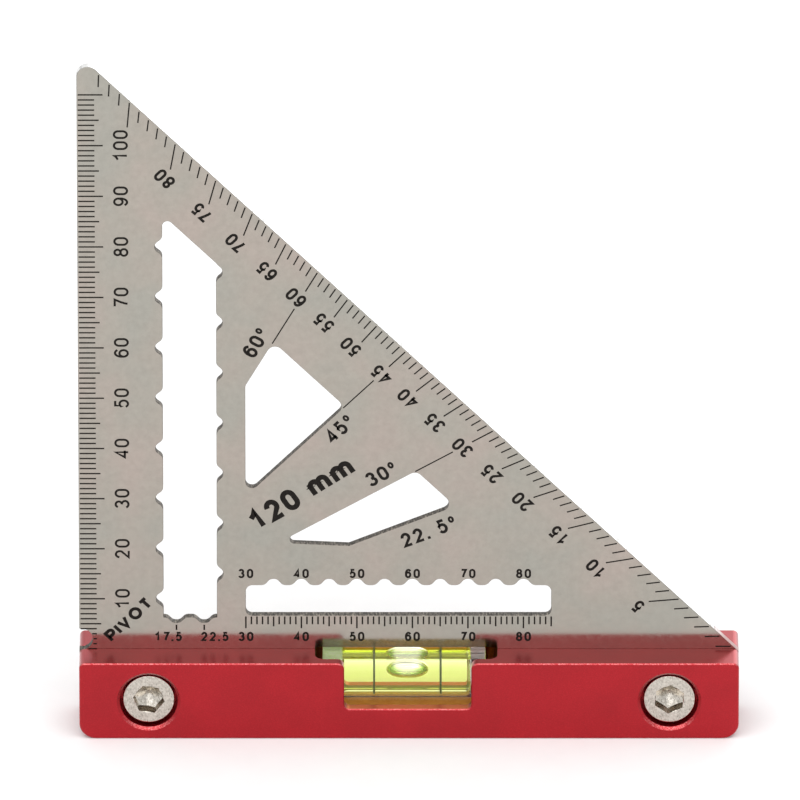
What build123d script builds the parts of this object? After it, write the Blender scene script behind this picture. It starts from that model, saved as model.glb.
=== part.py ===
"""Small rafter square: a triangular steel blade clamped in a grooved aluminium bar with a level vial."""

import os
from math import cos, radians, tan

from build123d import *

# Everything is laid out in millimetres from the square's zero corner: X runs along the bar from its left
# end, Z rises from the top of the bar, and Y = 0 is the middle of the blade. Negative Y is the front.
BAR_LENGTH = 118.8
BAR_HEIGHT = 15.0
BAR_THICKNESS = 14.0
BAR_BOTTOM_RADIUS = 3.0
BAR_TOP_RADIUS = 1.0
BAR_CHAMFER = 0.2
GROOVE_CHAMFER = 0.12

BLADE_THICKNESS = 1.5
BLADE_LEG = 118.3
BLADE_DEPTH = 12.0
BLADE_TIP_RADIUS = 2.0
BLADE_FOOT_RADIUS = 1.5
BLADE_CHAMFER = 0.05
PIVOT_RELIEF_CENTRE = (0.3, 1.95)
PIVOT_RELIEF_RADIUS = 2.1
ANGLE_CENTRE_HEIGHT = 0.48

PENCIL_SLOT = {"left": 15.2, "right": 24.8, "bottom": 6.3, "slant": 101.6}
RULE_SLOT = {"left": 30.0, "right": 85.0, "bottom": 6.65, "top": 12.7}
SLOT_TIP_RADIUS = 0.95
RULE_SLOT_RADIUS = 1.2
NOTCH_MOUTH = 3.3
NOTCH_TIP = 1.2
NOTCH_SHOULDER_RADIUS = 1.3
NOTCH_TIP_RADIUS = 1.1
NOTCH_STRIP = (4.6, 1.0)

HOLE_SLANT = 96.2
UPPER_HOLE_LEFT = 30.0
LOWER_HOLE_FLOOR = {"left": 21.2, "right": 20.6}
LOWER_HOLE_POINT_RADIUS = 0.85
HOLE_CORNER_RADIUS = 1.5
UPPER_HOLE_HEEL_RADIUS = 1.2

SCREW_PLACES = {"left": 12.5, "right": 106.3}
SCREW_HEIGHT = -7.6
SCREW_RADIUS = 3.0
SCREW_CLEARANCE_RADIUS = 3.25
SCREW_HEAD_RADIUS = 4.7
SCREW_HEAD_HEIGHT = 3.9
SCREW_HEAD_ROUND = 0.3
SCREW_RECESS = 1.0
SCREW_END_GAP = 0.8
SCREW_END_CHAMFER = 0.6
SCREW_SOCKET_WIDTH = 5.0
SCREW_SOCKET_DEPTH = 2.3
SCREW_SOCKET_LEAD_IN = 0.12
SCREW_SOCKET_TURN = {"left": -8.0, "right": 25.0}
DRILL_POINT_ANGLE = 31.0
COUNTERBORE_RADIUS = 5.25
COUNTERBORE_CHAMFER = 0.5
THREAD_EXIT_CHAMFER = 0.5

VIAL_START = 43.8
VIAL_END = 73.2
VIAL_SECTION = 10.0
VIAL_BORE_RADIUS = 3.7
VIAL_BORE_END = 70.5
VIAL_BORE_ROUND = 1.0
VIAL_PLUG_LENGTH = 3.6
VIAL_EDGE_CHAMFER = 0.15
VIAL_CLEARANCE = 0.05
RING_PLACES = (53.1, 65.1)
RING_WIDTH = 0.35
RING_DEPTH = 0.12
BUBBLE_CENTRE = 59.1
BUBBLE_HALF_SIZES = (3.85, 2.9, 3.1)
BUBBLE_DROP = 0.5
BUBBLE_TOP_RADIUS = 3.5
BUBBLE_CLEARANCE = 0.15

POCKET_START = 42.45
POCKET_END = 75.3
POCKET_RADIUS = 1.75
WINDOW_START = 47.7
WINDOW_END = 70.6
WINDOW_DEPTH = 9.1
WINDOW_LIP_RADIUS = 1.2
WINDOW_CORNER_RADIUS = 1.0
BLADE_OVER_VIAL = 0.3

FRONT = -BAR_THICKNESS / 2
REAR = BAR_THICKNESS / 2
BLADE_FRONT = -BLADE_THICKNESS / 2
BLADE_REAR = BLADE_THICKNESS / 2
SCREW_SEAT = FRONT + SCREW_RECESS + SCREW_HEAD_HEIGHT
SCREW_END = REAR - SCREW_END_GAP
VIAL_AXIS_HEIGHT = -VIAL_SECTION / 2
VIAL_PLUG_END = VIAL_START + VIAL_PLUG_LENGTH
SKY = 5.0
TOUCH = 1e-4


def slab(outline, near, far):
    """Extrude an X-Z outline from Y = near to Y = far."""
    return extrude(Plane.XZ.offset(-near) * outline, amount=near - far)


def box(low, high):
    """A plain block between two opposite corners."""
    sizes = [top - bottom for bottom, top in zip(low, high)]
    return Pos(*low) * Box(*sizes, align=(Align.MIN, Align.MIN, Align.MIN))


def rectangle(left, bottom, right, top):
    return Pos(left, bottom) * Rectangle(right - left, top - bottom, align=(Align.MIN, Align.MIN))


def rounded(outline, corners, radius):
    """Round the outline's corners that stand at the given points."""
    def is_chosen(vertex):
        return any(abs(vertex.X - x) < TOUCH and abs(vertex.Y - z) < TOUCH for x, z in corners)
    return fillet(outline.vertices().filter_by(is_chosen), radius)


def disc_through(x, z, radius, near, far):
    """A round bar along Y, for bores and shanks."""
    return slab(Pos(x, z) * Circle(radius), near, far)


def ray_meets_slant(angle, slant):
    """Where a ray from the angle scale's centre crosses the line X + Z = slant."""
    x = (slant - ANGLE_CENTRE_HEIGHT) / (1 + tan(radians(angle)))
    return x, slant - x


def ray_height(angle, x):
    return ANGLE_CENTRE_HEIGHT + x * tan(radians(angle))


def ray_reach(angle, z):
    return (z - ANGLE_CENTRE_HEIGHT) / tan(radians(angle))


def pencil_notch(depth):
    """One notch and the strip of slot below it, with the slot's edge at the origin and the tip upwards."""
    strip_width, strip_depth = NOTCH_STRIP
    mouth = NOTCH_MOUTH / 2
    tip = NOTCH_TIP / 2
    wedge = Polygon((-mouth, 0), (mouth, 0), (tip, depth), (-tip, depth), align=None)
    outline = rectangle(-strip_width / 2, -strip_depth, strip_width / 2, 0) + wedge
    outline = rounded(outline, [(-mouth, 0), (mouth, 0)], NOTCH_SHOULDER_RADIUS)
    return rounded(outline, [(-tip, depth), (tip, depth)], NOTCH_TIP_RADIUS)


def notch_row(places, turn, depth):
    """Notches at the given points, turned so that they point away from the slot."""
    return [Pos(x, z) * Rot(0, 0, turn) * pencil_notch(depth) for x, z in places]


def pencil_slot():
    """The upright slot, with a notch every 10 mm on each side and two at its foot, all below its slanted top."""
    left, right = PENCIL_SLOT["left"], PENCIL_SLOT["right"]
    bottom, slant = PENCIL_SLOT["bottom"], PENCIL_SLOT["slant"]
    top_left = (left, slant - left)
    outline = Polygon((left, bottom), (right, bottom), (right, slant - right), top_left, align=None)
    outline = rounded(outline, [top_left], SLOT_TIP_RADIUS)
    notches = notch_row([(left, z) for z in range(10, 81, 10)], 90, 1.35)
    notches += notch_row([(right, z) for z in range(15, 76, 10)], -90, 1.15)
    notches += notch_row([(x, bottom) for x in (17.5, 22.5)], 180, 1.1)
    below_slant = Polygon((0, 0), (slant, 0), (0, slant), align=None)
    return (outline + notches) & below_slant


def rule_slot():
    """The level slot above the short rule, with a notch every 5 mm along its top."""
    left, right = RULE_SLOT["left"], RULE_SLOT["right"]
    outline = rectangle(left, RULE_SLOT["bottom"], right, RULE_SLOT["top"])
    outline = fillet(outline.vertices(), RULE_SLOT_RADIUS)
    return outline + notch_row([(x, RULE_SLOT["top"]) for x in range(35, 81, 5)], 0, 1.25)


def upper_hole():
    """Window whose edges lie on the 60 and 45 degree rays."""
    left = UPPER_HOLE_LEFT
    heel = (left, ray_height(45, left))
    corners = [(left, ray_height(60, left)), ray_meets_slant(60, HOLE_SLANT), ray_meets_slant(45, HOLE_SLANT)]
    outline = rounded(Polygon(heel, *corners, align=None), [heel], UPPER_HOLE_HEEL_RADIUS)
    return rounded(outline, corners, HOLE_CORNER_RADIUS)


def lower_hole():
    """Window whose edges lie on the 30 and 22.5 degree rays, with a slightly sloping floor between them."""
    floor = LOWER_HOLE_FLOOR
    point = (ray_reach(30, floor["left"]), floor["left"])
    elbow = (ray_reach(22.5, floor["right"]), floor["right"])
    corners = [ray_meets_slant(angle, HOLE_SLANT) for angle in (30, 22.5)]
    outline = rounded(Polygon(point, *corners, elbow, align=None), [point], LOWER_HOLE_POINT_RADIUS)
    return rounded(outline, corners, HOLE_CORNER_RADIUS)


def blade_outline():
    """The triangle and the tongue below it that sits in the bar."""
    tip = (0, BLADE_LEG)
    feet = [(0, -BLADE_DEPTH), (BAR_LENGTH, -BLADE_DEPTH)]
    heel = (BAR_LENGTH, BLADE_LEG - BAR_LENGTH)
    outline = Polygon(tip, feet[0], feet[1], heel, align=None)
    outline = rounded(rounded(outline, [tip], BLADE_TIP_RADIUS), feet, BLADE_FOOT_RADIUS)
    outline -= Pos(*PIVOT_RELIEF_CENTRE) * Circle(PIVOT_RELIEF_RADIUS)
    return outline - rectangle(POCKET_START, -BLADE_DEPTH, POCKET_END, BLADE_OVER_VIAL)


def blade():
    openings = [pencil_slot(), rule_slot(), upper_hole(), lower_hole()]
    openings += [Pos(x, SCREW_HEIGHT) * Circle(SCREW_CLEARANCE_RADIUS) for x in SCREW_PLACES.values()]
    body = slab(blade_outline() - openings, BLADE_FRONT, BLADE_REAR)
    faces = body.faces().filter_by(Axis.Y)
    return chamfer(faces.edges(), BLADE_CHAMFER)


def window_cutter():
    """A vial window in the front and rear walls, flared where it meets the top of the bar."""
    opening = rectangle(WINDOW_START, -WINDOW_DEPTH, WINDOW_END, 0)
    outline = opening + rectangle(POCKET_START, 0, POCKET_END, SKY)
    lips = [(WINDOW_START, 0), (WINDOW_END, 0)]
    feet = [(WINDOW_START, -WINDOW_DEPTH), (WINDOW_END, -WINDOW_DEPTH)]
    outline = rounded(rounded(outline, lips, WINDOW_LIP_RADIUS), feet, WINDOW_CORNER_RADIUS)
    return slab(outline, FRONT, REAR)


def pocket_cutter():
    half_width = VIAL_SECTION / 2 + VIAL_CLEARANCE
    plan = rectangle(POCKET_START, -half_width, POCKET_END, half_width)
    plan = fillet(plan.vertices(), POCKET_RADIUS)
    return Pos(0, 0, -VIAL_SECTION) * extrude(plan, amount=VIAL_SECTION + SKY)


def screw_bore_cutters(x):
    """Counterbore, clearance hole and threaded hole for one clamp screw, from front to rear."""
    entry_plane = Plane(origin=(x, FRONT, SCREW_HEIGHT), z_dir=(0, 1, 0))
    entry_cone = Cone(COUNTERBORE_RADIUS + COUNTERBORE_CHAMFER, COUNTERBORE_RADIUS, COUNTERBORE_CHAMFER,
                      align=(Align.CENTER, Align.CENTER, Align.MIN))
    exit_plane = Plane(origin=(x, REAR, SCREW_HEIGHT), z_dir=(0, 1, 0))
    exit_cone = Cone(SCREW_RADIUS, SCREW_RADIUS + THREAD_EXIT_CHAMFER, THREAD_EXIT_CHAMFER,
                     align=(Align.CENTER, Align.CENTER, Align.MAX))
    return [entry_plane * entry_cone,
            disc_through(x, SCREW_HEIGHT, COUNTERBORE_RADIUS, FRONT, SCREW_SEAT),
            disc_through(x, SCREW_HEIGHT, SCREW_CLEARANCE_RADIUS, SCREW_SEAT, BLADE_FRONT),
            disc_through(x, SCREW_HEIGHT, SCREW_RADIUS, BLADE_REAR, REAR),
            exit_plane * exit_cone]


def groove_mouth_cutter():
    """A fine chamfer along both top edges of the blade's groove."""
    mouth = BLADE_THICKNESS / 2 + GROOVE_CHAMFER
    foot = BLADE_THICKNESS / 2
    profile = Polygon((-mouth, 0), (-foot, -GROOVE_CHAMFER), (foot, -GROOVE_CHAMFER), (mouth, 0), align=None)
    return extrude(Plane.YZ * profile, amount=BAR_LENGTH)


def base_bar():
    """The bar, with its groove, vial pocket, two windows and two screw bores."""
    outline = rectangle(0, -BAR_HEIGHT, BAR_LENGTH, 0)
    tops = [(0, 0), (BAR_LENGTH, 0)]
    bottoms = [(0, -BAR_HEIGHT), (BAR_LENGTH, -BAR_HEIGHT)]
    outline = rounded(rounded(outline, tops, BAR_TOP_RADIUS), bottoms, BAR_BOTTOM_RADIUS)
    body = slab(outline, FRONT, REAR) - window_cutter() - pocket_cutter()
    body -= box((0, BLADE_FRONT, -BLADE_DEPTH), (BAR_LENGTH, BLADE_REAR, SKY))
    outer_faces = body.faces().filter_by(Axis.Y).filter_by_position(Axis.Y, FRONT, FRONT)
    outer_faces += body.faces().filter_by(Axis.Y).filter_by_position(Axis.Y, REAR, REAR)
    body = chamfer(outer_faces.edges(), BAR_CHAMFER)
    for x in SCREW_PLACES.values():
        body -= screw_bore_cutters(x)
    return body - groove_mouth_cutter()


def clamp_screw(side):
    """Low-head M6 socket screw, drawn along +Z with its seat at the origin and then laid along the bore."""
    length = SCREW_END - SCREW_SEAT
    head = extrude(Circle(SCREW_HEAD_RADIUS), amount=-SCREW_HEAD_HEIGHT)
    rim = head.edges().sort_by(Axis.Z)[0]
    head = fillet(rim, SCREW_HEAD_ROUND)
    shank = extrude(Circle(SCREW_RADIUS), amount=length)
    shank = chamfer(shank.edges().sort_by(Axis.Z)[-1], SCREW_END_CHAMFER)
    half_width = SCREW_SOCKET_WIDTH / 2
    corner_radius = half_width / cos(radians(30))
    hexagon = Rot(0, 0, -SCREW_SOCKET_TURN[side]) * RegularPolygon(corner_radius, 6)
    point_height = corner_radius * tan(radians(DRILL_POINT_ANGLE))
    drill_point = Cone(corner_radius, 0, point_height, align=(Align.CENTER, Align.CENTER, Align.MIN))
    drill_point = Pos(0, 0, SCREW_SOCKET_DEPTH) * drill_point & extrude(hexagon, amount=BAR_THICKNESS)
    lead_in = Cone(half_width + SCREW_SOCKET_LEAD_IN, half_width - SCREW_SOCKET_LEAD_IN,
                   2 * SCREW_SOCKET_LEAD_IN, align=(Align.CENTER, Align.CENTER, Align.MIN))
    cutters = [extrude(hexagon, amount=SCREW_SOCKET_DEPTH), drill_point, lead_in]
    screw = head + shank - [Pos(0, 0, -SCREW_HEAD_HEIGHT) * cutter for cutter in cutters]
    bore = Plane(origin=(SCREW_PLACES[side], SCREW_SEAT, SCREW_HEIGHT), x_dir=(1, 0, 0), z_dir=(0, 1, 0))
    return bore * screw


def along_vial(profile, start, end):
    """Extrude a Y-Z profile, drawn about the vial's axis, from X = start to X = end."""
    plane = Plane(origin=(start, 0, VIAL_AXIS_HEIGHT), x_dir=(0, 1, 0), z_dir=(1, 0, 0))
    return extrude(plane * profile, amount=end - start)


def vial_bore_fill():
    """The liquid's chamber: a round bore with a rounded blind end."""
    chamber = along_vial(Circle(VIAL_BORE_RADIUS), VIAL_PLUG_END, VIAL_BORE_END)
    return fillet(chamber.edges().sort_by(Axis.X)[-1], VIAL_BORE_ROUND)


def vial_plug():
    return along_vial(Circle(VIAL_BORE_RADIUS), VIAL_START, VIAL_PLUG_END)


def vial_block():
    half_section = VIAL_SECTION / 2
    block = box((VIAL_START, -half_section, -VIAL_SECTION), (VIAL_END, half_section, 0))
    block = chamfer(block.edges(), VIAL_EDGE_CHAMFER)
    return block - vial_bore_fill() - vial_plug()


def vial_rings():
    """Two thin black bands against the wall of the bore, as a group of two solids."""
    profile = Circle(VIAL_BORE_RADIUS) - Circle(VIAL_BORE_RADIUS - RING_DEPTH)
    half_width = RING_WIDTH / 2
    return [along_vial(profile, x - half_width, x + half_width) for x in RING_PLACES]


def vial_bubble():
    """A lens-shaped bubble that lies against the top of the bore."""
    height = VIAL_AXIS_HEIGHT + VIAL_BORE_RADIUS - BUBBLE_DROP
    bubble = Pos(BUBBLE_CENTRE, 0, height) * scale(Sphere(1), by=BUBBLE_HALF_SIZES)
    return bubble & along_vial(Circle(BUBBLE_TOP_RADIUS), VIAL_PLUG_END, VIAL_BORE_END)


def vial_liquid():
    """The liquid, with a channel along its top that the bubble travels in."""
    half_width = BUBBLE_HALF_SIZES[1] + BUBBLE_CLEARANCE
    half_height = BUBBLE_HALF_SIZES[2] + BUBBLE_CLEARANCE
    channel = along_vial(Pos(0, VIAL_BORE_RADIUS - BUBBLE_DROP) * Ellipse(half_width, half_height),
                         VIAL_PLUG_END, VIAL_BORE_END)
    return vial_bore_fill() - vial_rings() - channel


def to_row_frame(shape):
    """Move the zero corner so that the origin is under the middle of the bar."""
    return Pos(-BAR_LENGTH / 2, 0, BAR_HEIGHT) * shape


def build_nodes():
    return {
        "blade": blade(),
        "base_bar": base_bar(),
        "clamp_screw_left": clamp_screw("left"),
        "clamp_screw_right": clamp_screw("right"),
        "vial_block": vial_block(),
        "vial_end_plug": vial_plug(),
        "vial_rings": Compound(vial_rings()),
        "vial_liquid": vial_liquid(),
        "vial_bubble": vial_bubble(),
    }


os.makedirs("parts", exist_ok=True)
for name, shape in build_nodes().items():
    export_step(to_row_frame(shape), f"parts/{name}.step")
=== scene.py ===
"""Looks for a small rafter square.

It has a steel blade with printed scales, a red anodised bar, two clamp screws and a level vial.
"""

from math import cos, hypot, pi, radians, sin, tan

import bmesh
import bpy
from mathutils import Matrix, Vector


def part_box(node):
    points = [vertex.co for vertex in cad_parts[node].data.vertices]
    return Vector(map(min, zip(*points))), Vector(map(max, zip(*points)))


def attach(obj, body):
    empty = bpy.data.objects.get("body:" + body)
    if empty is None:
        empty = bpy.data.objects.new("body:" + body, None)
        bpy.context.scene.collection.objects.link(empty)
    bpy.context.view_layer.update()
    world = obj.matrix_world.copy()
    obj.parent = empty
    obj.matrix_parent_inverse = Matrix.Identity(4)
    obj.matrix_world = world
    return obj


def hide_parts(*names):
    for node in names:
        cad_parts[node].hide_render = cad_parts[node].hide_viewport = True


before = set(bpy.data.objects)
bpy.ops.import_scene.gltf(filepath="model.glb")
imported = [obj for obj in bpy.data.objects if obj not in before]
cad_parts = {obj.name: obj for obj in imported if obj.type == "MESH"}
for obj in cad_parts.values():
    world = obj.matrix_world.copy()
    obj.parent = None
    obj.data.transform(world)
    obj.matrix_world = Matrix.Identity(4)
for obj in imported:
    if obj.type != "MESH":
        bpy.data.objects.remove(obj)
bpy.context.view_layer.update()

MM = 0.001
bar_low, bar_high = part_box("base_bar")
blade_low, blade_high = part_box("blade")
block_low, block_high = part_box("vial_block")
plug_low, plug_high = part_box("vial_end_plug")
liquid_low, liquid_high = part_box("vial_liquid")
bubble_low, bubble_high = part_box("vial_bubble")

# The scales are laid out in millimetres from the zero corner: X along the bar, Z up from the bar's top.
ZERO_X = bar_low.x
ZERO_Z = bar_high.z

# Where the finishes change, in millimetres from the zero corner.
GROUND_EDGE_SUM = 117.9     # the slanted edge's wall lies past this X + Z
GROUND_TIP_HEIGHT = 114.0   # and the whole tip above this height is ground too
EDGE_BLEND = 0.05
TIP_BLEND = 0.5
BAR_REFLECTION_HEIGHTS = (2.0, 5.0)      # heights between which the ground edge turns from a painted pink reflection of the red bar to bright
BURR_SPAN = (0.58, 0.66)    # distances from the blade's middle plane
FLAT_FACING = (0.80, 0.90)  # how squarely a surface of the blade faces front or back
WORN_HIGHLIT_EDGE = (0.25, 0.40)    # how much a chamfer faces sideways and up at once; such chamfers get wear and a painted highlight
POCKET = {"X": (58.875, 16.5), "Y": (0.0, 5.1), "Z": (-5.2, 4.9)}   # middle and reach along each axis of the vial's pocket, which is darkened with painted shade

ACRYLIC_INDEX = 1.49
LIQUID_INDEX = 1.36

# ---------------------------------------------------------------- materials


class Nodes:
    """A small helper that adds nodes to one material and links them."""

    def __init__(self, name):
        self.material = bpy.data.materials.new(name)
        self.material.use_nodes = True
        self.tree = self.material.node_tree
        self.tree.nodes.clear()
        self.output = self.add("ShaderNodeOutputMaterial")

    def add(self, kind, inputs=None, **settings):
        node = self.tree.nodes.new(kind)
        for name, value in settings.items():
            setattr(node, name, value)
        for name, value in (inputs or {}).items():
            socket = node.inputs[name]
            if isinstance(value, bpy.types.NodeSocket):
                self.tree.links.new(value, socket)
            else:
                socket.default_value = value
        return node

    def place(self, origin=(0, 0, 0)):
        """Object coordinates in millimetres, measured from a point given in metres."""
        coordinates = self.add("ShaderNodeTexCoord").outputs["Object"]
        shifted = self.add("ShaderNodeVectorMath", {0: coordinates, 1: tuple(origin)}, operation="SUBTRACT")
        scaled = self.add("ShaderNodeVectorMath", {0: shifted.outputs[0], "Scale": 1 / MM}, operation="SCALE")
        return scaled.outputs[0]

    def turn(self):
        """The parts of the surface's own direction, by axis name."""
        normal = self.add("ShaderNodeTexCoord").outputs["Normal"]
        return self.add("ShaderNodeSeparateXYZ", {0: normal}).outputs

    def noise(self, vector, size, detail=3.0, roughness=0.5):
        """Noise whose features are about `size` millimetres across."""
        node = self.add("ShaderNodeTexNoise", {"Vector": vector, "Scale": 1 / size, "Detail": detail,
                                               "Roughness": roughness})
        return node.outputs["Fac"]

    def stretched(self, vector, factors):
        return self.add("ShaderNodeVectorMath", {0: vector, 1: factors}, operation="MULTIPLY").outputs[0]

    def span(self, value, low, high, from_low=0.35, from_high=0.65):
        """Map a noise value on to the range from low to high."""
        node = self.add("ShaderNodeMapRange", {"Value": value, "From Min": from_low, "From Max": from_high,
                                               "To Min": low, "To Max": high})
        return node.outputs["Result"]

    def within(self, value, middle, reach):
        """One where the value is within reach of the middle, otherwise nought."""
        return self.add("ShaderNodeMath", {0: value, 1: middle, 2: reach}, operation="COMPARE").outputs[0]

    def ramp(self, value, *stops):
        node = self.add("ShaderNodeValToRGB", {"Fac": value})
        elements = node.color_ramp.elements
        while len(elements) < len(stops):
            elements.new(0.5)
        for element, (position, colour) in zip(elements, stops):
            element.position = position
            element.color = (*colour, 1)
        return node.outputs["Color"]

    def mixed(self, factor, first, second, blend="MIX"):
        node = self.add("ShaderNodeMix", {0: factor, 6: first, 7: second}, data_type="RGBA", blend_type=blend)
        return node.outputs[2]

    def maths(self, operation, first, second=None):
        inputs = {0: first} if second is None else {0: first, 1: second}
        return self.add("ShaderNodeMath", inputs, operation=operation).outputs[0]

    def bump(self, height, distance, strength):
        """A bump whose distance is in millimetres."""
        node = self.add("ShaderNodeBump", {"Height": height, "Distance": distance * MM, "Strength": strength})
        return node.outputs["Normal"]

    def shader(self, inputs):
        node = self.add("ShaderNodeBsdfPrincipled", inputs)
        self.tree.links.new(node.outputs[0], self.output.inputs["Surface"])
        return node


def blade_steel():
    """Satin rolled stainless steel with faint clouds.

    The cut walls are dark, but the slanted edge is ground bright, with a thin burr along each side, and
    carries a painted pink reflection of the red bar where it nears the bar.
    """
    n = Nodes("blade_steel")
    place = n.place((ZERO_X, 0, ZERO_Z))
    clouds = n.noise(place, 15.0, detail=3.0)
    tint = n.ramp(clouds, (0.34, (0.386, 0.371, 0.330)), (0.50, (0.408, 0.374, 0.330)),
                  (0.66, (0.436, 0.376, 0.336)))
    mottle = n.noise(place, 1.1, detail=4.0, roughness=0.65)
    shade = n.ramp(mottle, (0.30, (0.89, 0.89, 0.89)), (0.70, (1.0, 1.0, 1.0)))
    sheet = n.mixed(1.0, tint, shade, "MULTIPLY")
    grain = n.noise(n.stretched(place, (1.0, 1.0, 0.06)), 0.12, detail=2.0)

    burn = n.noise(n.stretched(place, (1.0, 0.25, 1.0)), 0.30, detail=3.0, roughness=0.7)
    cut = n.ramp(burn, (0.38, (0.045, 0.040, 0.035)), (0.55, (0.145, 0.130, 0.112)),
                 (0.70, (0.36, 0.32, 0.27)))

    across = n.add("ShaderNodeSeparateXYZ", {0: place}).outputs
    slant = n.maths("ADD", across["X"], across["Z"])
    edge = n.span(slant, 0.0, 1.0, GROUND_EDGE_SUM - EDGE_BLEND, GROUND_EDGE_SUM + EDGE_BLEND)
    tip = n.span(across["Z"], 0.0, 1.0, GROUND_TIP_HEIGHT - TIP_BLEND, GROUND_TIP_HEIGHT + TIP_BLEND)
    ground = n.maths("MAXIMUM", edge, tip)
    scratches = n.noise(n.stretched(place, (1.0, 0.10, 1.0)), 0.6, detail=3.0, roughness=0.7)
    polished = n.ramp(scratches, (0.34, (0.42, 0.42, 0.41)), (0.46, (0.95, 0.95, 0.94)))
    burr = n.ramp(mottle, (0.3, (0.20, 0.19, 0.18)), (0.7, (0.38, 0.37, 0.35)))
    depth = n.maths("ABSOLUTE", across["Y"])
    bright = n.mixed(n.span(depth, 0.0, 1.0, *BURR_SPAN), polished, burr)
    # Painted reflection: near the bar the ground edge is painted pink-red, as if it mirrored the red bar.
    painted_bar_reflection = n.ramp(mottle, (0.3, (0.34, 0.20, 0.19)), (0.7, (0.42, 0.26, 0.25)))
    near_bar = n.span(across["Z"], 1.0, 0.0, *BAR_REFLECTION_HEIGHTS)
    wall = n.mixed(ground, cut, n.mixed(near_bar, bright, painted_bar_reflection))

    flat = n.span(n.maths("ABSOLUTE", n.turn()["Y"]), 0.0, 1.0, *FLAT_FACING)
    wall_rough = n.span(ground, 0.50, 0.30, 0.0, 1.0)
    rough = n.add("ShaderNodeMix", {0: flat, 2: wall_rough, 3: n.span(mottle, 0.13, 0.19)}, data_type="FLOAT")
    n.shader({"Base Color": n.mixed(flat, wall, sheet), "Metallic": 1.0, "Roughness": rough.outputs[0],
              "Normal": n.bump(grain, 0.0006, 0.5)})
    return n.material


def bar_red():
    """Red anodised aluminium, fine blasted and sealed, paler along its top edges from wear and a painted
    highlight, and darkened with painted shade inside the vial's pocket.
    """
    n = Nodes("bar_red")
    place = n.place((ZERO_X, 0, ZERO_Z))
    grain = n.noise(place, 0.22, detail=3.0, roughness=0.7)
    clouds = n.noise(place, 9.0, detail=2.0)
    tone = n.ramp(grain, (0.28, (0.35, 0.002, 0.009)), (0.50, (0.41, 0.003, 0.011)),
                  (0.74, (0.51, 0.010, 0.020)))
    drift = n.ramp(clouds, (0.35, (0.94, 0.85, 0.90)), (0.65, (1.0, 1.0, 1.0)))
    rough = n.span(grain, 0.28, 0.40)

    turn = n.turn()
    # Painted highlight with wear: chamfers that face front or back and up at once are paler.
    edge = n.maths("MULTIPLY", n.maths("ABSOLUTE", turn["Y"]), turn["Z"])
    worn_and_highlit = n.maths("MULTIPLY", n.span(edge, 0.0, 1.0, *WORN_HIGHLIT_EDGE), n.span(grain, 0.0, 0.8, 0.42, 0.62))
    pale = n.ramp(grain, (0.35, (0.56, 0.07, 0.08)), (0.65, (0.72, 0.24, 0.24)))

    across = n.add("ShaderNodeSeparateXYZ", {0: place}).outputs
    # Painted shade: the walls and floor inside the vial's pocket are darkened.
    inside = n.within(across["X"], *POCKET["X"])
    for axis in "YZ":
        inside = n.maths("MULTIPLY", inside, n.within(across[axis], *POCKET[axis]))
    shade = n.mixed(inside, n.ramp(clouds, (0.35, (0.97, 0.97, 0.97)), (0.65, (1.0, 1.0, 1.0))),
                    n.ramp(clouds, (0.35, (0.20, 0.22, 0.20)), (0.65, (0.30, 0.34, 0.30))))
    anodised = n.mixed(1.0, n.mixed(1.0, tone, drift, "MULTIPLY"), shade, "MULTIPLY")
    paint = n.mixed(worn_and_highlit, anodised, pale)
    n.shader({"Base Color": paint, "Metallic": 0.85, "Roughness": rough,
              "Coat Weight": 1.0, "Coat Roughness": 0.27, "Coat IOR": 1.30,
              "Normal": n.bump(grain, 0.010, 0.5)})
    return n.material


def screw_steel(node):
    """Bright turned steel, with fine rings about the screw's own axis and a few handling marks."""
    low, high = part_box(node)
    n = Nodes(node.replace("clamp_screw", "screw_steel"))
    place = n.place((low + high) / 2)
    flat = n.stretched(place, (1.0, 0.0, 1.0))
    radius = n.add("ShaderNodeVectorMath", {0: flat}, operation="LENGTH").outputs["Value"]
    wobble = n.noise(place, 2.5, detail=2.0)
    ring = n.maths("ADD", radius, n.maths("MULTIPLY", wobble, 0.35))
    lathe = n.add("ShaderNodeTexNoise", {"W": ring, "Scale": 9.0, "Detail": 3.0}, noise_dimensions="1D")
    marks = n.noise(place, 0.5, detail=4.0, roughness=0.7)
    tone = n.ramp(marks, (0.28, (0.38, 0.35, 0.31)), (0.50, (0.60, 0.56, 0.50)), (0.75, (0.78, 0.74, 0.68)))
    scuffs = n.noise(n.stretched(place, (1.0, 1.0, 0.35)), 0.16, detail=2.0, roughness=0.6)
    bruise = n.ramp(scuffs, (0.32, (0.42, 0.41, 0.39)), (0.44, (1.0, 1.0, 1.0)))
    rough = n.span(marks, 0.10, 0.24)
    n.shader({"Base Color": n.mixed(1.0, tone, bruise, "MULTIPLY"), "Metallic": 1.0, "Roughness": rough,
              "Normal": n.bump(lathe.outputs["Fac"], 0.006, 0.5)})
    return n.material


def print_black():
    """Dark etched marking, a little uneven."""
    n = Nodes("print_black")
    wear = n.noise(n.place(), 0.35, detail=3.0)
    tone = n.ramp(wear, (0.30, (0.006, 0.005, 0.004)), (0.70, (0.016, 0.013, 0.011)))
    n.shader({"Base Color": tone, "Roughness": n.span(wear, 0.55, 0.75), "Specular IOR Level": 0.12})
    return n.material


def clear_acrylic():
    """The vial's clear block, with its faint polishing marks."""
    n = Nodes("vial_clear")
    place = n.place()
    haze = n.noise(place, 0.8, detail=3.0)
    tone = n.ramp(haze, (0.3, (0.95, 0.975, 0.90)), (0.7, (0.985, 0.995, 0.96)))
    n.shader({"Base Color": tone, "Transmission Weight": 1.0, "IOR": ACRYLIC_INDEX,
              "Roughness": n.span(haze, 0.0, 0.02), "Normal": n.bump(n.noise(place, 3.0), 0.004, 0.3)})
    return n.material


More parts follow.
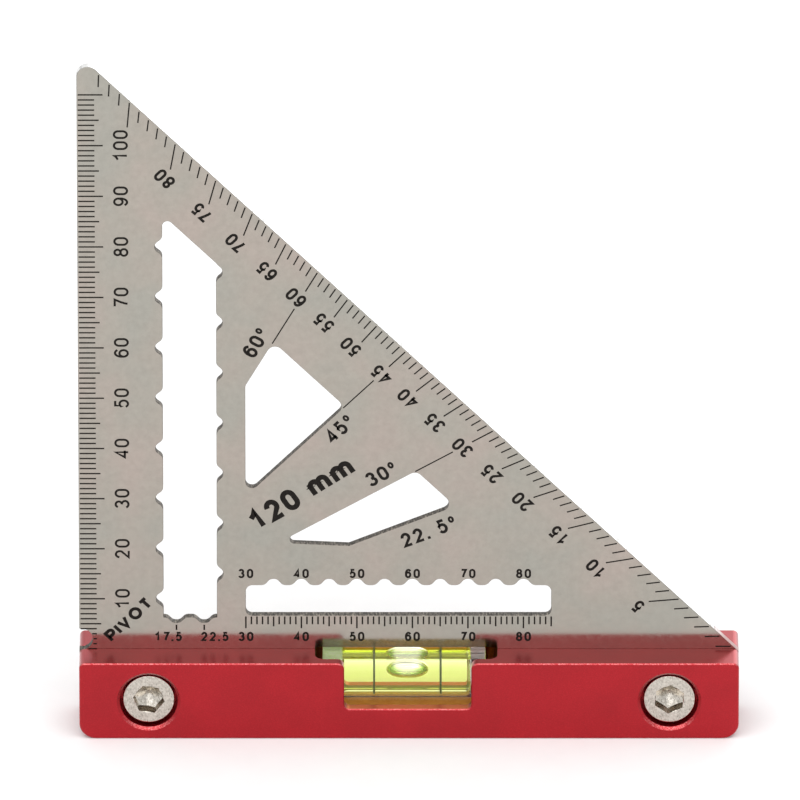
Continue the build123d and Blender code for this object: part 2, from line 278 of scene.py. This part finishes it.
def green_liquid():
    """Yellow-green spirit, with a painted yellow-green glow. Its index is given relative to the acrylic round
    it.
    """
    n = Nodes("vial_liquid")
    swirl = n.noise(n.place(), 2.0, detail=2.0)
    tone = n.ramp(swirl, (0.3, (0.98, 1.0, 0.90)), (0.7, (1.0, 1.0, 0.95)))
    # Painted glow: a faint yellow-green emission makes the liquid shine without a lamp.
    n.shader({"Base Color": tone, "Transmission Weight": 1.0, "IOR": LIQUID_INDEX / ACRYLIC_INDEX,
              "Roughness": 0.0, "Emission Color": (0.62, 0.78, 0.06, 1), "Emission Strength": 0.075})
    dye = n.add("ShaderNodeVolumeAbsorption", {"Color": (0.92, 0.985, 0.0, 1), "Density": 150.0})
    n.tree.links.new(dye.outputs[0], n.output.inputs["Volume"])
    return n.material


def bubble_air():
    """Where the liquid meets the air in the bubble: a painted glow makes it white in its middle, and painted
    shade makes it dark green towards its rim.
    """
    n = Nodes("vial_air")
    middle = (bubble_low + bubble_high) / 2
    place = n.place((middle.x, middle.y, bubble_high.z))
    half = (bubble_high - bubble_low) / 2 / MM
    unit = n.stretched(place, (1 / half.x, 0.0, 0.5 / half.z))
    reach = n.add("ShaderNodeVectorMath", {0: unit}, operation="LENGTH").outputs["Value"]
    ripple = n.noise(place, 1.2, detail=2.0)
    reach = n.maths("ADD", reach, n.span(ripple, -0.04, 0.04))
    # Painted shade darkens the bubble's rim, and a painted glow lights its middle.
    tone = n.ramp(reach, (0.55, (1.0, 1.0, 1.0)), (0.80, (0.62, 0.82, 0.50)), (0.96, (0.30, 0.50, 0.18)))
    painted_glow = n.ramp(reach, (0.50, (1.0, 0.98, 0.98)), (0.78, (0.10, 0.14, 0.05)), (0.95, (0.0, 0.0, 0.0)))
    n.shader({"Base Color": tone, "Transmission Weight": 0.88, "IOR": 1 / LIQUID_INDEX, "Roughness": 0.0,
              "Emission Color": painted_glow, "Emission Strength": 0.38})
    return n.material


def plug_plastic():
    """Milky plug that closes the bore, with a painted pale green glow."""
    n = Nodes("vial_plug")
    cloud = n.noise(n.place(), 0.9, detail=3.0)
    tone = n.ramp(cloud, (0.3, (0.76, 0.95, 0.46)), (0.7, (0.95, 1.0, 0.84)))
    # Painted glow: a faint pale green emission makes the plug shine without a lamp.
    n.shader({"Base Color": tone, "Roughness": n.span(cloud, 0.05, 0.2), "Transmission Weight": 0.55,
              "IOR": 1.06, "Emission Color": (0.75, 0.95, 0.40, 1), "Emission Strength": 0.08})
    return n.material


def adhesive():
    """Matt orange-brown adhesive, seen through the block's foot."""
    n = Nodes("vial_adhesive")
    cloud = n.noise(n.place(), 1.5, detail=3.0)
    tone = n.ramp(cloud, (0.3, (0.62, 0.21, 0.055)), (0.7, (0.74, 0.30, 0.085)))
    n.shader({"Base Color": tone, "Roughness": n.span(cloud, 0.8, 0.95), "Specular IOR Level": 0.0})
    return n.material


def ring_black():
    """The vial's black reading rings."""
    n = Nodes("vial_ring")
    wear = n.noise(n.place(), 0.3)
    tone = n.ramp(wear, (0.3, (0.006, 0.008, 0.006)), (0.7, (0.016, 0.02, 0.014)))
    n.shader({"Base Color": tone, "Roughness": n.span(wear, 0.4, 0.6)})
    return n.material


def floor_white():
    """Plain pale paper."""
    n = Nodes("floor_paper")
    fleck = n.noise(n.place(), 6.0, detail=3.0)
    tone = n.ramp(fleck, (0.3, (0.885, 0.885, 0.885)), (0.7, (0.90, 0.90, 0.90)))
    n.shader({"Base Color": tone, "Roughness": 0.9, "Specular IOR Level": 0.0})
    return n.material


# ---------------------------------------------------------------- objects


def mesh_object(name, mesh, material):
    """Turn a bmesh into an object with one material."""
    data = bpy.data.meshes.new(name)
    mesh.to_mesh(data)
    mesh.free()
    data.materials.append(material)
    piece = bpy.data.objects.new(name, data)
    bpy.context.scene.collection.objects.link(piece)
    return piece


# ---------------------------------------------------------------- printed marks

PRINT_PROUD = 0.012
PRINT_SUNK = 0.004
STROKE_STEP = 0.0007    # strokes that cross differ by this in height, so no two faces lie in one plane
STROKE_LEVELS = 8
CURVE_STEP = 15


def curve(centre_x, centre_y, radius_x, radius_y, start, end):
    """Points along an arc of an ellipse, from one angle in degrees to another."""
    count = max(2, round(abs(end - start) / CURVE_STEP))
    angles = [radians(start + (end - start) * i / count) for i in range(count + 1)]
    return [(centre_x + radius_x * cos(a), centre_y + radius_y * sin(a)) for a in angles]


OVAL = curve(0.5, 0.68, 0.5, 0.32, 0, 180) + curve(0.5, 0.32, 0.5, 0.32, 180, 360) + [(1, 0.68)]
SIX = [curve(0.5, 0.325, 0.49, 0.325, 90, 450),
       curve(0.56, 0.50, 0.56, 0.50, 38, 180) + [(0.01, 0.325)]]

# Each glyph is its strokes' centre lines in a unit box, and its width as a share of a digit's.
GLYPHS = {
    "0": (1.0, [OVAL]),
    "1": (1.0, [[(0.64, 0), (0.64, 1), (0.46, 0.84), (0.05, 0.71)]]),
    "2": (1.0, [curve(0.5, 0.70, 0.46, 0.30, 175, -35) + [(0.03, 0), (1, 0)]]),
    "3": (1.0, [curve(0.47, 0.755, 0.42, 0.245, 165, -90), curve(0.47, 0.265, 0.50, 0.265, 90, -160)]),
    "4": (1.0, [[(0.76, 0), (0.76, 1), (0, 0.27), (1, 0.27)]]),
    "5": (1.0, [[(0.92, 1), (0.22, 1), (0.11, 0.50)] + curve(0.48, 0.33, 0.50, 0.33, 140, -152)]),
    "6": (1.0, SIX),
    "7": (1.0, [[(0, 1), (1, 1), (0.66, 0.58), (0.45, 0.25), (0.38, 0)]]),
    "8": (1.0, [curve(0.5, 0.765, 0.41, 0.235, 0, 360), curve(0.5, 0.265, 0.50, 0.265, 0, 360)]),
    "9": (1.0, [[(1 - x, 1 - y) for x, y in stroke] for stroke in SIX]),
    ".": (0.30, []),
    "°": (0.66, [curve(0.5, 0.80, 0.50, 0.20, 0, 360)]),
    " ": (0.45, []),
    "P": (1.0, [[(0, 0), (0, 1), (0.55, 1)] + curve(0.62, 0.72, 0.38, 0.28, 90, -90) + [(0, 0.44)]]),
    "I": (0.12, [[(0.5, 0), (0.5, 1)]]),
    "V": (1.1, [[(0, 1), (0.5, 0), (1, 1)]]),
    "O": (1.25, [curve(0.5, 0.5, 0.5, 0.5, 0, 360)]),
    "T": (1.0, [[(0, 1), (1, 1)], [(0.5, 1), (0.5, 0)]]),
    "m": (1.45, [[(0, 0), (0, 0.72)], [(0, 0.47)] + curve(0.25, 0.47, 0.25, 0.25, 180, 0) + [(0.5, 0)],
                 [(0.5, 0.47)] + curve(0.75, 0.47, 0.25, 0.25, 180, 0) + [(1, 0)]]),
}
DIGIT_SHAPE = 0.62
MITRE_LIMIT = 2.0
LEAST_COSINE = 0.2
DOT_SIZE = 0.95
DEGREE_WEIGHT = 0.75
SAME_POINT = 1e-6


def turned(centre, angle, points):
    """Turn points about nought by an angle in radians, then move them to a centre."""
    return [(centre[0] + x * cos(angle) - y * sin(angle),
             centre[1] + x * sin(angle) + y * cos(angle)) for x, y in points]


class Print:
    """Thin raised strokes on the front of the blade, gathered into one mesh."""

    def __init__(self, name):
        self.name = name
        self.mesh = bmesh.new()
        self.strokes = 0

    def stroke(self, points, width):
        """A flat stroke of even width along points (x, z) in millimetres from the zero corner."""
        closed = hypot(points[0][0] - points[-1][0], points[0][1] - points[-1][1]) < SAME_POINT
        if closed:
            points = points[:-1]
        count = len(points)
        path = [Vector(p) for p in points]
        rows = []
        self.strokes += 1
        proud_here = PRINT_PROUD + STROKE_STEP * (self.strokes % STROKE_LEVELS)
        for i, here in enumerate(path):
            before = path[i - 1] if closed or i else None
            after = path[(i + 1) % count] if closed or i < count - 1 else None
            along_in = (here - before).normalized() if before is not None else (after - here).normalized()
            along_out = (after - here).normalized() if after is not None else along_in
            normal = Vector((-along_in.y - along_out.y, along_in.x + along_out.x)).normalized()
            cosine = normal.dot(Vector((-along_in.y, along_in.x)))
            lengthening = min(MITRE_LIMIT, 1 / max(LEAST_COSINE, cosine))
            side = normal * width / 2 * lengthening
            rows.append([self.corner(here + side * turn, proud) for turn, proud in
                         ((1, proud_here), (-1, proud_here), (-1, -PRINT_SUNK), (1, -PRINT_SUNK))])
        pairs = list(zip(rows, rows[1:])) + ([(rows[-1], rows[0])] if closed else [])
        for first, second in pairs:
            for j in range(4):
                self.mesh.faces.new((first[j], first[(j + 1) % 4], second[(j + 1) % 4], second[j]))
        if not closed:
            self.mesh.faces.new(rows[0][::-1])
            self.mesh.faces.new(rows[-1])

    def corner(self, point, proud):
        return self.mesh.verts.new((ZERO_X + point.x * MM, blade_low.y - proud * MM, ZERO_Z + point.y * MM))

    def text(self, words, centre, height, weight, turn=0, gap=0.28, shape=DIGIT_SHAPE):
        """Write words centred on a point. The sizes are in millimetres and the turn is in degrees."""
        digit = height * shape
        widths = [GLYPHS[c][0] * digit for c in words]
        total = sum(widths) + gap * height * (len(words) - 1)
        left = -total / 2
        angle = radians(turn)
        for letter, width in zip(words, widths):
            across, up = max(width - weight, 0), height - weight
            thickness = weight * DEGREE_WEIGHT if letter == "°" else weight
            if letter == ".":
                size = DOT_SIZE * weight
                self.dot(centre, left + width / 2, (size - height) / 2, size, angle)
            for line in GLYPHS[letter][1]:
                flat = [(left + weight / 2 + x * across, -height / 2 + weight / 2 + y * up) for x, y in line]
                if letter == "I":
                    flat = [(left + width / 2, y) for _, y in flat]
                self.stroke(turned(centre, angle, flat), thickness)
            left += width + gap * height

    def dot(self, centre, x, y, size, angle):
        """A square full stop, drawn as a stroke as long as it is wide."""
        ends = ((x - size / 2, y), (x + size / 2, y))
        self.stroke(turned(centre, angle, ends), size)

    def finish(self, material):
        bmesh.ops.recalc_face_normals(self.mesh, faces=self.mesh.faces)
        piece = mesh_object(self.name, self.mesh, material)
        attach(piece, "square")


def tick_end(value, ends):
    """Pick the tick's end for a plain, a fifth or a tenth graduation."""
    return ends[2] if value % 10 == 0 else ends[1] if value % 5 == 0 else ends[0]


UPRIGHT_LAST = 110
UPRIGHT_TICK_WIDTH = 0.27
UPRIGHT_TICK_START = 0.2
UPRIGHT_TICK_ENDS = (3.15, 3.95, 4.65)
ZERO_TICK_END = 3.15
RELIEF_TICK_STARTS = {0: 1.6, 1: 2.5, 2: 2.55, 3: 2.3}
UPRIGHT_LABEL_X = 7.8
UPRIGHT_TEXT = {"height": 2.7, "weight": 0.40, "turn": 90, "gap": 0.17, "shape": 0.635}


def upright_scale(ink):
    """The 0 to 110 mm scale along the upright edge. The first ticks stop short of the pivot relief."""
    marks = Print("upright_scale")
    for value in range(UPRIGHT_LAST + 1):
        start = RELIEF_TICK_STARTS.get(value, UPRIGHT_TICK_START)
        end = tick_end(value, UPRIGHT_TICK_ENDS) if value else ZERO_TICK_END
        marks.stroke([(start, value), (end, value)], UPRIGHT_TICK_WIDTH)
    for value in range(10, UPRIGHT_LAST, 10):
        marks.text(str(value), (UPRIGHT_LABEL_X, value), **UPRIGHT_TEXT)
    marks.finish(ink)


RULE_FIRST, RULE_LAST = 30, 85
RULE_TICK_WIDTH = 0.28
RULE_TICK_START = 6.45
RULE_TICK_ENDS = (4.9, 4.5, 4.1)
RULE_LABEL_Z, SLOT_LABEL_Z = 2.45, 15.05
NOTCH_TICK_WIDTH = 0.30
NOTCH_TICK = (4.8, 3.75)
NOTCH_LABELS = ((17.5, 16.0), (22.5, 24.4))    # each notch's place along the bar and its label's middle
RULE_TEXT = {"height": 1.86, "weight": 0.385, "gap": 0.20, "shape": 0.63}


def short_rule(ink):
    """The 30 to 85 mm rule under the long slot, its labels below and above, and the two notches' marks."""
    marks = Print("short_rule")
    for value in range(RULE_FIRST, RULE_LAST + 1):
        marks.stroke([(value, RULE_TICK_START), (value, tick_end(value, RULE_TICK_ENDS))], RULE_TICK_WIDTH)
    for value in range(RULE_FIRST, RULE_LAST, 10):
        marks.text(str(value), (value, RULE_LABEL_Z), **RULE_TEXT)
        marks.text(str(value), (value, SLOT_LABEL_Z), **RULE_TEXT)
    for value, centre in NOTCH_LABELS:
        marks.stroke([(value, z) for z in NOTCH_TICK], NOTCH_TICK_WIDTH)
        marks.text(str(value), (centre, RULE_LABEL_Z), **RULE_TEXT)
    marks.finish(ink)


ANGLE_CENTRE = Vector((0, 0.48))
SLANT_SUM = 118.2
ANGLE_LAST = 88
ANGLE_TICK_WIDTH = 0.25
ANGLE_TICK_EDGE = 0.35
ANGLE_TICK_ENDS = (3.1, 6.2, 6.2)
STEEP_ANGLE = 80
STEEP_TICK_SHARE = 0.9
ANGLE_LABEL_SUM = 109.1
ANGLE_LABEL_STEP = 5
ANGLE_LABEL_SLIDES = ((15, 0.75), (45, 0.10), (80, -0.63))    # last label of each group and its slide
ANGLE_TEXT = {"height": 2.6, "weight": 0.50, "turn": 135, "gap": 0.17}


def on_ray(angle, slant_sum):
    """Where the ray at this angle meets the line x + z = slant_sum."""
    x = (slant_sum - ANGLE_CENTRE.y) / (1 + tan(radians(angle)))
    return x, slant_sum - x


def angle_scale(ink):
    """Degrees along the slanted edge, counted up from the bar, with every label's foot towards the edge."""
    marks = Print("angle_scale")
    for angle in range(ANGLE_LAST + 1):
        length = tick_end(angle, ANGLE_TICK_ENDS) if angle else ANGLE_TICK_ENDS[0]
        inner = SLANT_SUM - length * (STEEP_TICK_SHARE if angle > STEEP_ANGLE else 1.0)
        marks.stroke([on_ray(angle, SLANT_SUM - ANGLE_TICK_EDGE), on_ray(angle, inner)], ANGLE_TICK_WIDTH)
    for angle in range(ANGLE_LABEL_STEP, STEEP_ANGLE + 1, ANGLE_LABEL_STEP):
        x, z = on_ray(angle, ANGLE_LABEL_SUM)
        slide = next(step for last, step in ANGLE_LABEL_SLIDES if angle <= last)
        marks.text(str(angle), (x + slide, z - slide), **ANGLE_TEXT)
    marks.finish(ink)


RAY_WIDTH = 0.23
RAY_SUMS = {60: 95.7, 45: 95.6, 30: 95.9}    # where each ray leaves its hole, as X + Z
RAY_END_SUM = 106.6
HOLE_LABELS = (("60°", (31.9, 61.0), 60), ("45°", (46.9, 43.9), 45),
               ("30°", (54.4, 34.9), 30), ("22. 5°", (62.9, 23.45), 22.5))
HOLE_TEXT = {"height": 2.85, "weight": 0.55, "gap": 0.16, "shape": 0.65}


def hole_marks(ink):
    """The rays that run on from the two holes' edges, and the holes' own angle labels."""
    marks = Print("hole_marks")
    for angle, near in RAY_SUMS.items():
        marks.stroke([on_ray(angle, near), on_ray(angle, RAY_END_SUM)], RAY_WIDTH)
    for words, centre, turn in HOLE_LABELS:
        marks.text(words, centre, turn=turn, **HOLE_TEXT)
    marks.finish(ink)


PIVOT_CENTRE = (8.9, 5.9)
PIVOT_TEXT = {"height": 2.45, "weight": 0.62, "turn": 45, "gap": 0.20, "shape": 0.80}
SIZE_CENTRE = (39.9, 31.0)
SIZE_TEXT = {"height": 4.3, "weight": 0.98, "turn": 33.5, "gap": 0.14, "shape": 0.68}


def pivot_mark(ink):
    """The word at the zero corner, about which the square is turned."""
    marks = Print("pivot_mark")
    marks.text("PIVOT", PIVOT_CENTRE, **PIVOT_TEXT)
    marks.finish(ink)


def size_mark(ink):
    """A plain size in the middle of the blade."""
    marks = Print("size_mark")
    marks.text("120 mm", SIZE_CENTRE, **SIZE_TEXT)
    marks.finish(ink)


# ---------------------------------------------------------------- vial

BLOCK_EDGE = 0.15 * MM
BLOCK_INSET = 0.03 * MM
PLUG_EDGE = 0.25 * MM
BORE_ROUND = 1.0 * MM
BORE_ROUND_STEPS = 8
SKIN = 0.02 * MM            # keeps the liquid's surface off the rings and the plug off the bore
BUBBLE_SAG = 0.25 * MM
BUBBLE_BLUNTNESS = 2.6      # 2 would make the bubble's ends round, and more makes them blunter
BED_MARGIN = 0.1 * MM
BED_RISE = 0.05 * MM
BED_HALF_WIDTH = 2.4 * MM
BED_DEPTH = 1.5 * MM
LATHE_SIDES = 96
TINY = 1e-9
FLUID_CREASE = radians(50)
PLUG_CREASE = radians(40)


def new_piece(name, mesh, material, body, replaced, smooth=True):
    """Turn a bmesh into a piece that rides on a body and stands for one CAD node."""
    bmesh.ops.recalc_face_normals(mesh, faces=mesh.faces)
    piece = mesh_object(name, mesh, material)
    for face in piece.data.polygons:
        face.use_smooth = smooth
    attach(piece, body)
    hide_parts(replaced)
    return piece


def lathe_along_x(profile, centre):
    """A closed surface of revolution about a line along X. The profile is (x, radius), from axis to axis."""
    mesh = bmesh.new()
    rings = []
    for x, radius in profile:
        if radius < TINY:
            rings.append([mesh.verts.new((x, centre.y, centre.z))])
        else:
            angles = [2 * pi * i / LATHE_SIDES for i in range(LATHE_SIDES)]
            rings.append([mesh.verts.new((x, centre.y + radius * cos(a), centre.z + radius * sin(a)))
                          for a in angles])
    for first, second in zip(rings, rings[1:]):
        for i in range(LATHE_SIDES):
            j = (i + 1) % LATHE_SIDES
            corners = [first[i % len(first)], first[j % len(first)],
                       second[j % len(second)], second[i % len(second)]]
            mesh.faces.new(list(dict.fromkeys(corners)))
    return mesh


def vial_body():
    """The block's outer surface. The liquid's surface draws the bore inside."""
    mesh = bmesh.new()
    bmesh.ops.create_cube(mesh, size=1.0)
    inset = Vector((1, 1, 1)) * BLOCK_INSET
    low, high = block_low + inset, block_high - inset
    size, centre = high - low, (high + low) / 2
    mesh.transform(Matrix.Translation(centre) @ Matrix.Diagonal((*size, 1.0)))
    bmesh.ops.bevel(mesh, geom=list(mesh.edges), offset=BLOCK_EDGE, segments=3, profile=0.5, affect="EDGES")
    new_piece("vial_clear_block", mesh, clear_acrylic(), "square", "vial_block", smooth=False)


def vial_fluid():
    """The filled bore, a hair larger than the rings that lie in it."""
    radius = (liquid_high.y - liquid_low.y) / 2 + SKIN
    centre = (plug_low + plug_high) / 2
    start, end = liquid_low.x, liquid_high.x
    profile = [(start, 0), (start, radius)]
    for i in range(BORE_ROUND_STEPS + 1):
        a = pi / 2 * i / BORE_ROUND_STEPS
        profile.append((end - BORE_ROUND + BORE_ROUND * sin(a), radius - BORE_ROUND + BORE_ROUND * cos(a)))
    profile.append((end, 0))
    mesh = lathe_along_x(profile, centre)
    piece = new_piece("vial_fluid", mesh, green_liquid(), "square", "vial_liquid")
    piece.data.set_sharp_from_angle(angle=FLUID_CREASE)


def vial_plug_piece():
    """The plug in the bore's open end."""
    low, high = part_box("vial_end_plug")
    radius = (high.y - low.y) / 2 - SKIN
    start, end = low.x + SKIN, high.x - SKIN
    profile = [(start, 0), (start, radius - PLUG_EDGE), (start + PLUG_EDGE, radius),
               (end - PLUG_EDGE, radius), (end, radius - PLUG_EDGE), (end, 0)]
    mesh = lathe_along_x(profile, (low + high) / 2)
    piece = new_piece("vial_plug", mesh, plug_plastic(), "square", "vial_end_plug")
    piece.data.set_sharp_from_angle(angle=PLUG_CREASE)


def vial_bedding():
    """The adhesive under the vial: a bead that wets the block's foot and fills the blade's groove there."""
    start, end = block_low.x + BED_MARGIN, block_high.x - BED_MARGIN
    floor_z = block_low.z
    bead = (Vector((start, -BED_HALF_WIDTH, floor_z)), Vector((end, BED_HALF_WIDTH, floor_z + BED_RISE)))
    fill = (Vector((start, blade_low.y, floor_z - BED_DEPTH)), Vector((end, blade_high.y, floor_z)))
    mesh = bmesh.new()
    for low, high in (bead, fill):
        place = Matrix.Translation((low + high) / 2) @ Matrix.Diagonal((*(high - low), 1.0))
        bmesh.ops.create_cube(mesh, size=1.0, matrix=place)
    piece = mesh_object("vial_adhesive", mesh, adhesive())
    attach(piece, "square")


def vial_air():
    """A long bubble pressed against the top of the bore: its crown follows the bore, its belly is round."""
    low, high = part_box("vial_bubble")
    centre = (low + high) / 2
    bore_centre = (plug_low + plug_high) / 2
    half = (high - low) / 2
    mesh = bmesh.new()
    bmesh.ops.create_icosphere(mesh, subdivisions=5, radius=1.0)
    crown = high.z - bore_centre.z
    for vertex in mesh.verts:
        x, y, z = vertex.co
        fullness = max(0.0, 1 - abs(x) ** BUBBLE_BLUNTNESS) ** 0.5
        ring = max(TINY, (1 - x * x) ** 0.5)
        y, z = y / ring * fullness, z / ring * fullness
        px = centre.x + x * half.x
        py = centre.y + y * half.y
        pz = low.z - BUBBLE_SAG + (z + 1) * (half.z + BUBBLE_SAG / 2)
        reach = hypot(py - bore_centre.y, pz - bore_centre.z)
        if reach > crown:
            py = bore_centre.y + (py - bore_centre.y) * crown / reach
            pz = bore_centre.z + (pz - bore_centre.z) * crown / reach
        vertex.co = (px, py, pz)
    new_piece("vial_air_bubble", mesh, bubble_air(), "bubble", "vial_bubble")


# ---------------------------------------------------------------- stage

CAMERA_TARGET = Vector((-1.636, -0.75, 64.652)) * MM
CAMERA_DISTANCE = 5.0
CAMERA_ELEVATION = radians(25.5)
CAMERA_LENS = 1253.8
CAMERA_SENSOR = 36.0
CAMERA_REACH = 50.0
FLOOR_SIZE = 40.0
WORLD_STRENGTH = 0.90
LAMP_AIM = Vector((0, 0, 0.05))
LAMPS = (    # name, place, length, width and power
    ("front", (-0.35, -1.3, 0.68), 1.2, 1.2, 1.8),
    ("key", (-0.05, -0.6, 1.15), 1.9, 1.1, 9.5),
    ("back", (0.5, 1.2, 0.45), 0.9, 0.9, 3.0),
)


def camera():
    """A long lens straight in front of the blade, at the photograph's height."""
    data = bpy.data.cameras.new("camera")
    data.sensor_width = CAMERA_SENSOR
    data.lens = CAMERA_LENS
    data.clip_end = CAMERA_REACH
    eye = bpy.data.objects.new("camera", data)
    back = Vector((0, -cos(CAMERA_ELEVATION), sin(CAMERA_ELEVATION)))
    eye.location = CAMERA_TARGET + back * CAMERA_DISTANCE
    eye.rotation_euler = (pi / 2 - CAMERA_ELEVATION, 0, 0)
    bpy.context.scene.collection.objects.link(eye)
    bpy.context.scene.camera = eye


def softbox(name, place, length, width, power):
    """A large area light that looks at the object and isn't seen itself."""
    data = bpy.data.lights.new(name, "AREA")
    data.shape = "RECTANGLE"
    data.size = length
    data.size_y = width
    data.energy = power
    lamp = bpy.data.objects.new(name, data)
    lamp.location = place
    lamp.rotation_euler = (LAMP_AIM - Vector(place)).to_track_quat("-Z", "Y").to_euler()
    lamp.visible_camera = False
    bpy.context.scene.collection.objects.link(lamp)


def floor():
    """The pale sheet that the object stands on."""
    mesh = bmesh.new()
    bmesh.ops.create_grid(mesh, x_segments=4, y_segments=4, size=FLOOR_SIZE / 2)
    sheet = mesh_object("floor", mesh, floor_white())


def studio():
    """An even white surround, three softboxes and enough bounces for the vial."""
    world = bpy.data.worlds.new("studio")
    world.use_nodes = True
    background = world.node_tree.nodes["Background"]
    background.inputs["Color"].default_value = (1.0, 1.0, 1.0, 1.0)
    background.inputs["Strength"].default_value = WORLD_STRENGTH
    bpy.context.scene.world = world
    for lamp in LAMPS:
        softbox(*lamp)
    bpy.context.scene.view_settings.view_transform = "Standard"
    bpy.context.scene.cycles.max_bounces = 32
    bpy.context.scene.cycles.glossy_bounces = 16
    bpy.context.scene.cycles.transmission_bounces = 24


def paint(node, material):
    """Give a carried-over CAD node its finish."""
    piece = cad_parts[node]
    piece.data.materials.clear()
    piece.data.materials.append(material)


paint("blade", blade_steel())
paint("base_bar", bar_red())
for side in ("left", "right"):
    node = f"clamp_screw_{side}"
    paint(node, screw_steel(node))
paint("vial_rings", ring_black())

ink = print_black()
upright_scale(ink)
short_rule(ink)
angle_scale(ink)
hole_marks(ink)
pivot_mark(ink)
size_mark(ink)

vial_body()
vial_fluid()
vial_plug_piece()
vial_bedding()
vial_air()

floor()
studio()
camera()
